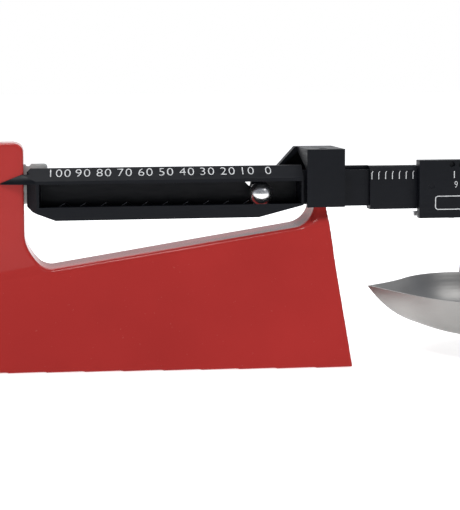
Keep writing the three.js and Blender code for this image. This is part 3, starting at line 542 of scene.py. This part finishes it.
# ---------------------------------------------------------------- refined copies of the mechanical pieces
REFINED = {
    "beam": ("beam_moulding", 0.3),
    "poise_slider": ("poise_slider_moulding", 0.35),
    "slider_spring": ("slider_spring_leaf", 0.12),
    "slider_rivet": ("slider_rivet_head", 0.15),
    "hanger_stirrup": ("hanger_stirrup_pressing", 0.2),
    "hanger_cross_pin": ("hanger_cross_pin_turned", 0.2),
    "hanger_pin": ("hanger_pin_ground", 0.12),
    "bearing_plate_front": ("bearing_plate_front_ground", 0.15),
    "bearing_plate_rear": ("bearing_plate_rear_ground", 0.15),
    "bearing_screw_front": ("bearing_screw_front_turned", 0.15),
    "bearing_screw_rear": ("bearing_screw_rear_turned", 0.15),
    "knife_edge_front": ("knife_edge_front_ground", 0.1),
    "knife_edge_rear": ("knife_edge_rear_ground", 0.1),
    "damping_vane": ("damping_vane_sheet", 0.12),
    "vane_rivet_left": ("vane_rivet_left_head", 0.15),
    "vane_rivet_right": ("vane_rivet_right_head", 0.15),
    "zero_plate": ("zero_plate_sheet", 0.12),
    "zero_plate_pin_lower": ("zero_plate_pin_lower_head", 0.15),
    "zero_plate_pin_upper": ("zero_plate_pin_upper_head", 0.15),
    "magnet_front": ("magnet_front_disc", 0.25),
    "magnet_rear": ("magnet_rear_disc", 0.25),
    "foot_front": ("foot_front_rubber", 0.4),
    "foot_rear": ("foot_rear_rubber", 0.4),
    "foot_pad": ("foot_pad_rubber", 0.5),
}
for node, (name, width) in REFINED.items():
    refined(node, name, width)


# ---------------------------------------------------------------- turned pieces
def turned(name, profile, centre, axis, node, segments=96, teeth=0, depth=0.0):
    """A lathe of (radius, height, knurled) points in millimetres, toothed at the knurled ones."""
    shape = bmesh.new()
    rows = []
    for radius, height, knurled in profile:
        row = []
        for i in range(segments):
            turn = 2 * math.pi * i / segments
            r = radius - (depth * (0.5 + 0.5 * math.cos(teeth * turn)) if knurled else 0)
            row.append(shape.verts.new((r * math.cos(turn) * MM, r * math.sin(turn) * MM, height * MM)))
        rows.append(row)
    for low, high in zip(rows, rows[1:]):
        for i in range(segments):
            shape.faces.new((low[i], low[(i + 1) % segments], high[(i + 1) % segments], high[i]))
    shape.faces.new(rows[0][::-1])
    shape.faces.new(rows[-1])
    mesh = bpy.data.meshes.new(name)
    shape.to_mesh(mesh)
    shape.free()
    mesh.polygons.foreach_set("use_smooth", [True] * len(mesh.polygons))
    mesh.set_sharp_from_angle(angle=math.radians(40))
    mesh.transform(Matrix.Translation(centre) @ Vector(axis).to_track_quat("Z", "Y").to_matrix().to_4x4())
    return new_piece(name, mesh, slot_of[node], body_of[node], [node])


def knurled_head(radius, low, high):
    edge = 0.5
    return [
        (radius - edge, low, False), (radius, low + edge, True), (radius, high - edge, True),
        (radius - edge, high, False),
    ]


LEVEL_R, LEVEL_ROOT_R, LEVEL_PITCH = 2, 1.65, 0.7
LEVEL_COLLAR_Z, LEVEL_COLLAR_R = 14.2, 4.2
LEVEL_HEAD_R, LEVEL_HEAD_LOW, LEVEL_HEAD_HIGH = 5, 14.4, 20
level_low, level_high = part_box("levelling_screw")
level_centre = Vector(((level_low.x + level_high.x) / 2, 0, 0))
stem_bottom, stem_top = level_low.z / MM, level_high.z / MM
level_profile = [(1.4, stem_bottom, False), (LEVEL_R, stem_bottom + 0.6, False)]
for i in range(int((LEVEL_COLLAR_Z - stem_bottom - 1) / LEVEL_PITCH)):
    z = stem_bottom + 0.8 + i * LEVEL_PITCH
    level_profile += [(LEVEL_R, z, False), (LEVEL_ROOT_R, z + LEVEL_PITCH / 2, False)]
level_profile += [(LEVEL_R, LEVEL_COLLAR_Z - 0.1, False), (LEVEL_COLLAR_R, LEVEL_COLLAR_Z + 0.1, False)]
level_profile += knurled_head(LEVEL_HEAD_R, LEVEL_HEAD_LOW, LEVEL_HEAD_HIGH)
level_profile += [(LEVEL_R + 0.2, LEVEL_HEAD_HIGH, False), (LEVEL_R, LEVEL_HEAD_HIGH + 0.2, False)]
level_profile += [(LEVEL_R, stem_top - 0.5, False), (LEVEL_R - 0.5, stem_top, False)]
turned("levelling_screw_knurled", level_profile, level_centre, (0, 0, 1), "levelling_screw",
       segments=144, teeth=36, depth=0.35)

ADJUST_R, ADJUST_COLLAR_R = 1.5, 3.4
ADJUST_HEAD_R, ADJUST_HEAD_LEFT = 4, 117.7
adjust_low, adjust_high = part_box("zero_adjust_screw")
adjust_centre = Vector((0, 0, (adjust_low.z + adjust_high.z) / 2))
shank_left, head_right = adjust_low.x / MM, adjust_high.x / MM
adjust_profile = [(ADJUST_R - 0.3, shank_left, False), (ADJUST_R, shank_left + 0.4, False)]
adjust_profile += [(ADJUST_R, ADJUST_HEAD_LEFT - 0.2, False)]
adjust_profile += [(ADJUST_COLLAR_R, ADJUST_HEAD_LEFT - 0.1, False)]
adjust_profile += knurled_head(ADJUST_HEAD_R, ADJUST_HEAD_LEFT, head_right)
turned("zero_adjust_screw_knurled", adjust_profile, adjust_centre, (1, 0, 0), "zero_adjust_screw",
       segments=120, teeth=30, depth=0.3)

ball_low, ball_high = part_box("poise_ball")
ball_centre = (ball_low + ball_high) / 2
ball_mesh = bpy.data.meshes.new("poise_ball_polished")
ball_shape = bmesh.new()
bmesh.ops.create_icosphere(ball_shape, subdivisions=5, radius=(ball_high.x - ball_low.x) / 2)
ball_shape.to_mesh(ball_mesh)
ball_shape.free()
ball_mesh.transform(Matrix.Translation(ball_centre))
ball_mesh.polygons.foreach_set("use_smooth", [True] * len(ball_mesh.polygons))
new_piece("poise_ball_polished", ball_mesh, "chrome_steel", "ball", ["poise_ball"])


# ---------------------------------------------------------------- pan
def make_pan():
    """The spun bowl, its rim drawn out and up to a spout, with a rolled lip. Millimetres inside."""
    low, high = pan_low / MM, pan_high / MM
    radius = (high.y - low.y) / 2
    centre = pan_centre.x / MM
    bottom, tip = low.z, high.z
    rise = 2.0
    rim = tip - rise
    wall = 0.7
    dish = 0.3                    # share of the depth that the shallow middle takes
    steps = 40
    tangent = math.acos(radius / (centre - low.x))

    def outside(t):
        return bottom + (rim - bottom) * (dish * t * t + (1 - dish) * t ** 7)

    profile = [(radius * i / steps, outside(i / steps)) for i in range(1, steps + 1)]
    lip = 0.06
    profile += [(radius - lip, rim), (radius - wall / 2, rim + 0.02), (radius - wall + lip, rim)]
    profile += [((radius - wall) * i / steps, outside(i / steps) + wall) for i in range(steps - 1, 0, -1)]
    segments = 192
    shape = bmesh.new()

    def place(r, z, i):
        turn = 2 * math.pi * i / segments
        angle = abs(math.remainder(turn, 2 * math.pi))
        share = min(1, r / radius) ** 2
        reach = 1 / math.cos(max(0, tangent - angle))
        scale = 1 + (reach - 1) * share
        lift = rise * share * max(0, 1 - angle / tangent) ** 2
        return Vector((centre - r * scale * math.cos(turn), r * scale * math.sin(turn), z + lift)) * MM

    rows = [[shape.verts.new(place(r, z, i)) for i in range(segments)] for r, z in profile]
    for a, b in zip(rows, rows[1:]):
        for i in range(segments):
            shape.faces.new((a[i], b[i], b[(i + 1) % segments], a[(i + 1) % segments]))
    foot = shape.verts.new(Vector((centre, 0, bottom)) * MM)
    well = shape.verts.new(Vector((centre, 0, bottom + wall)) * MM)
    for i in range(segments):
        shape.faces.new((foot, rows[0][i], rows[0][(i + 1) % segments]))
        shape.faces.new((well, rows[-1][(i + 1) % segments], rows[-1][i]))
    bmesh.ops.recalc_face_normals(shape, faces=shape.faces)
    mesh = bpy.data.meshes.new("pan_spun_bowl")
    shape.to_mesh(mesh)
    shape.free()
    mesh.polygons.foreach_set("use_smooth", [True] * len(mesh.polygons))
    mesh.set_sharp_from_angle(angle=math.radians(50))
    new_piece("pan_spun_bowl", mesh, "satin_aluminium", "pan", ["pan"])


make_pan()


# ---------------------------------------------------------------- wire bail
def smooth_route(corners, steps):
    """A centripetal Catmull-Rom curve through the corners."""
    points = [Vector(c) for c in corners]
    points = [2 * points[0] - points[1]] + points + [2 * points[-1] - points[-2]]
    route = []
    for p0, p1, p2, p3 in zip(points, points[1:], points[2:], points[3:]):
        t1 = (p1 - p0).length ** 0.5
        t2 = t1 + (p2 - p1).length ** 0.5
        t3 = t2 + (p3 - p2).length ** 0.5
        for i in range(steps):
            t = t1 + (t2 - t1) * i / steps
            a1 = p0.lerp(p1, t / t1)
            a2 = p1.lerp(p2, (t - t1) / (t2 - t1))
            a3 = p2.lerp(p3, (t - t2) / (t3 - t2))
            b1 = a1.lerp(a2, t / t2)
            b2 = a2.lerp(a3, (t - t1) / (t3 - t1))
            route.append(b1.lerp(b2, (t - t1) / (t2 - t1)))
    return route + [points[-2]]


def wire(shape, route, radius, closed, around=16):
    """Adds a round wire along the route, its ends domed unless it is closed."""
    count = len(route)
    rings = []
    across = None
    for i, point in enumerate(route):
        if closed:
            along = route[(i + 1) % count] - route[i - 1]
        else:
            along = route[min(i + 1, count - 1)] - route[max(i - 1, 0)]
        along.normalize()
        if across is None:
            across = along.orthogonal().normalized()
        across = (across - along * across.dot(along)).normalized()
        other = along.cross(across)
        turns = [2 * math.pi * k / around for k in range(around)]
        spots = [point + radius * (math.cos(a) * across + math.sin(a) * other) for a in turns]
        rings.append([shape.verts.new(spot * MM) for spot in spots])
    pairs = list(zip(rings, rings[1:]))
    if closed:
        pairs.append((rings[-1], rings[0]))
    for a, b in pairs:
        for k in range(around):
            shape.faces.new((a[k], a[(k + 1) % around], b[(k + 1) % around], b[k]))
    if not closed:
        shape.faces.new(rings[0][::-1])
        shape.faces.new(rings[-1])


def make_bail():
    """The wire bail: an eye on the cross pin, two arms round the pan and a ring under it."""
    hanger_x, pin_z = 110.5, 65.0
    pin_r, gap = 1.0, 0.3
    radius = 0.9
    eye_r = pin_r + gap + radius
    ring_r, ring_z = 13.5, 7.75
    bow = 3.0                     # the arms bow away from the spout by this much
    hook_z = pin_z - eye_r
    segments = 96
    shape = bmesh.new()
    turns = [2 * math.pi * i / segments for i in range(segments)]
    eye = [Vector((hanger_x + eye_r * math.cos(a), 0, pin_z + eye_r * math.sin(a))) for a in turns]
    wire(shape, eye, radius, True)
    ring = [Vector((hanger_x + ring_r * math.cos(a), ring_r * math.sin(a), ring_z)) for a in turns]
    wire(shape, ring, radius, True)
    for side in (-1, 1):
        corners = []
        for y, z in (
            (0, hook_z), (7, 60), (24, 50), (39, 39), (43.3, 32), (43, 25), (37, 15.5), (27, 9.8),
            (ring_r, ring_z),
        ):
            lean = bow * math.sin(math.pi * (hook_z - z) / (hook_z - ring_z))
            corners.append((hanger_x + lean, side * y, z))
        wire(shape, smooth_route(corners, 10), radius, False)
    bmesh.ops.recalc_face_normals(shape, faces=shape.faces)
    mesh = bpy.data.meshes.new("hanger_bail_wire")
    shape.to_mesh(mesh)
    shape.free()
    mesh.polygons.foreach_set("use_smooth", [True] * len(mesh.polygons))
    mesh.set_sharp_from_angle(angle=math.radians(50))
    new_piece("hanger_bail_wire", mesh, "bright_steel", "hanger", ["hanger_bail"])


make_bail()

# ---------------------------------------------------------------- markings
def digits(body, height, stretch):
    """A flat mesh of the digits, centred on zero in x and y, facing +Z. Metres."""
    curve = bpy.data.curves.new("digits", "FONT")
    curve.body = body
    curve.space_character = 1.12
    curve.resolution_u = 5
    curve.offset = -0.012
    holder = bpy.data.objects.new("digits", curve)
    bpy.context.scene.collection.objects.link(holder)
    bpy.context.view_layer.update()
    graph = bpy.context.evaluated_depsgraph_get()
    mesh = bpy.data.meshes.new_from_object(holder.evaluated_get(graph))
    bpy.data.objects.remove(holder)
    points = np.array([v.co for v in mesh.vertices])
    low, high = points.min(0), points.max(0)
    scale = height / (high[1] - low[1])
    middle = Matrix.Translation((-(low[0] + high[0]) / 2, -(low[1] + high[1]) / 2, 0))
    mesh.transform(Matrix.Diagonal((scale * stretch, scale, 1, 1)) @ middle)
    return mesh


def bar(width, height, lean=0.0):
    """A flat upright mark centred on zero, its top moved sideways by lean."""
    mesh = bpy.data.meshes.new("mark")
    w, h = width / 2, height / 2
    mesh.from_pydata([(-w, -h, 0), (w, -h, 0), (w + lean, h, 0), (-w + lean, h, 0)], [], [(0, 1, 2, 3)])
    return mesh


def ring_outline(width, height, line, corner, steps=8):
    """A flat outline of a rounded rectangle."""
    def loop(inset):
        r = max(corner - inset, 0.0001)
        points = []
        for cx, cy, start in (
            (width / 2 - corner, height / 2 - corner, 0), (corner - width / 2, height / 2 - corner, 90),
            (corner - width / 2, corner - height / 2, 180), (width / 2 - corner, corner - height / 2, 270),
        ):
            for i in range(steps + 1):
                turn = math.radians(start + 90 * i / steps)
                points.append((cx + r * math.cos(turn), cy + r * math.sin(turn), 0))
        return points
    outer, inner = loop(0), loop(line)
    count = len(outer)
    faces = [(i, (i + 1) % count, count + (i + 1) % count, count + i) for i in range(count)]
    mesh = bpy.data.meshes.new("outline")
    mesh.from_pydata(outer + inner, [], faces)
    return mesh


def on_plane(mesh, point, across, normal, lift=0.00003):
    """Lays a flat mesh on a face: its x along across, its z along the face's normal."""
    z = Vector(normal).normalized()
    x = Vector(across).normalized()
    y = z.cross(x)
    turn = Matrix((x, y, z)).transposed().to_4x4()
    mesh.transform(Matrix.Translation(Vector(point) + z * lift) @ turn)
    return mesh


def joined(name, meshes, body, thickness=0.00004, look=None):
    """One thin raised marking made of several flat ones, in white unless a look is given."""
    shape = bmesh.new()
    for mesh in meshes:
        shape.from_mesh(mesh)
        bpy.data.meshes.remove(mesh)
    whole = bpy.data.meshes.new(name)
    shape.to_mesh(whole)
    shape.free()
    piece = new_piece(name, whole, look or WHITE, body)
    solid = piece.modifiers.new("ink", "SOLIDIFY")
    solid.thickness = thickness
    solid.offset = 1
    apply_modifiers(piece)
    return piece


NOTCH_ZERO = -0.001
NUMERAL_PITCH = 0.00945
NUMERAL_OFFSET = 0.0029           # the 0 stands a little to the right of its notch
NUMERAL_HEIGHT, NUMERAL_WIDEN = 0.0044, 1.04
NUMERAL_UP = 0.0047               # its middle, measured up the bevel
HUNDRED_SHIFT = -0.0007
BEVEL_FOOT = Vector((0, -0.0125, 0.0853))
BEVEL_NORMAL = Vector((0, -1, 1)).normalized()
BEVEL_UP = Vector((0, 1, 1)).normalized()
FRONT = (0, -1, 0)
ACROSS = (1, 0, 0)
numerals = []
for i in range(11):
    x = NOTCH_ZERO - i * NUMERAL_PITCH + NUMERAL_OFFSET + (HUNDRED_SHIFT if i == 10 else 0)
    point = BEVEL_FOOT + BEVEL_UP * NUMERAL_UP + Vector((x, 0, 0))
    numeral = digits(str(10 * i), NUMERAL_HEIGHT, NUMERAL_WIDEN)
    numerals.append(on_plane(numeral, point, ACROSS, BEVEL_NORMAL))
joined("beam_numerals", numerals, "beam")

# painted highlight: a thin light grey metal strip along the rising edge of each tooth stands in for the
# light that edge catches
# the light grey metal look of the painted tooth highlights
TOOTH_HIGHLIGHT_PAINT = metal("tooth_edge_painted_highlight", (0.4, 0.41, 0.43), 0.4)
NOTCH_PITCH = 0.00955
TOOTH_HALF, TOOTH_HEIGHT = 0.0029, 0.0017
TOOTH_FACE_Y = -0.0005
TROUGH_FLOOR_Z = 0.0725
TEETH = 10
HIGHLIGHT_WIDTH, HIGHLIGHT_DROP = 0.00022, 0.0002
edges = []
for i in range(TEETH):
    middle_x = NOTCH_ZERO - (i + 0.5) * NOTCH_PITCH - TOOTH_HALF / 2
    point = (middle_x, TOOTH_FACE_Y, TROUGH_FLOOR_Z + TOOTH_HEIGHT / 2 - HIGHLIGHT_DROP)
    edge = bar(TOOTH_HALF, HIGHLIGHT_WIDTH)
    edges.append(on_plane(edge, point, (TOOTH_HALF, 0, TOOTH_HEIGHT), FRONT))
# the painted highlight strips, joined into one piece on the beam
joined("tooth_edge_highlight_strips", edges, "beam", look=TOOTH_HIGHLIGHT_PAINT)

ARM_FRONT_Y = -0.008
ARM_EDGE_Z = 0.0878
TICKS, TICK_LEFT, TICK_PITCH = 15, 0.0514, 0.0033
TICK_WIDTH, TICK_HEIGHT, TICK_DROP = 0.00036, 0.0030, 0.0026
HOOK_HEIGHT, HOOK_LEAN, HOOK_DROP = 0.0007, 0.0005, 0.00075
ticks = []
for i in range(TICKS):
    x = TICK_LEFT + i * TICK_PITCH
    tick_point = (x, ARM_FRONT_Y, ARM_EDGE_Z - TICK_DROP)
    hook_point = (x, ARM_FRONT_Y, ARM_EDGE_Z - HOOK_DROP)
    ticks.append(on_plane(bar(TICK_WIDTH, TICK_HEIGHT), tick_point, ACROSS, FRONT))
    ticks.append(on_plane(bar(TICK_WIDTH, HOOK_HEIGHT, lean=HOOK_LEAN), hook_point, ACROSS, FRONT))
joined("arm_graduations", ticks, "beam")

slider_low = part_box("poise_slider")[0]
LINE_WIDTH = 0.0004
slider_marks = []
for mark, x, z in (
    (bar(LINE_WIDTH, 0.0033), 0.0167, 0.08575),
    (digits("9", 0.0031, 0.8), 0.0176, 0.08105),
    (ring_outline(0.0165, 0.0066, LINE_WIDTH, 0.0014), 0.0158, 0.0725),
):
    slider_marks.append(on_plane(mark, (slider_low.x + x, slider_low.y, z), ACROSS, FRONT))
joined("slider_markings", slider_marks, "slider")

plate_low, plate_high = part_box("zero_plate")
plate_x = (plate_low.x + plate_high.x) / 2
INDEX_LENGTH, INDEX_WIDTH = 0.006, 0.00045
INDEX_SHIFT, INDEX_Z = 0.0006, 0.0841
index_line = bar(INDEX_LENGTH, INDEX_WIDTH)
index_point = (plate_x + INDEX_SHIFT, plate_low.y, INDEX_Z)
joined("zero_index_line", [on_plane(index_line, index_point, ACROSS, FRONT)], "base")

# ---------------------------------------------------------------- what is left keeps its CAD shape
for node, cad in frame["nodes"].items():
    if cad.hide_render:
        continue
    cad.data.materials.clear()
    cad.data.materials.append(LOOKS[slot_of[node]])
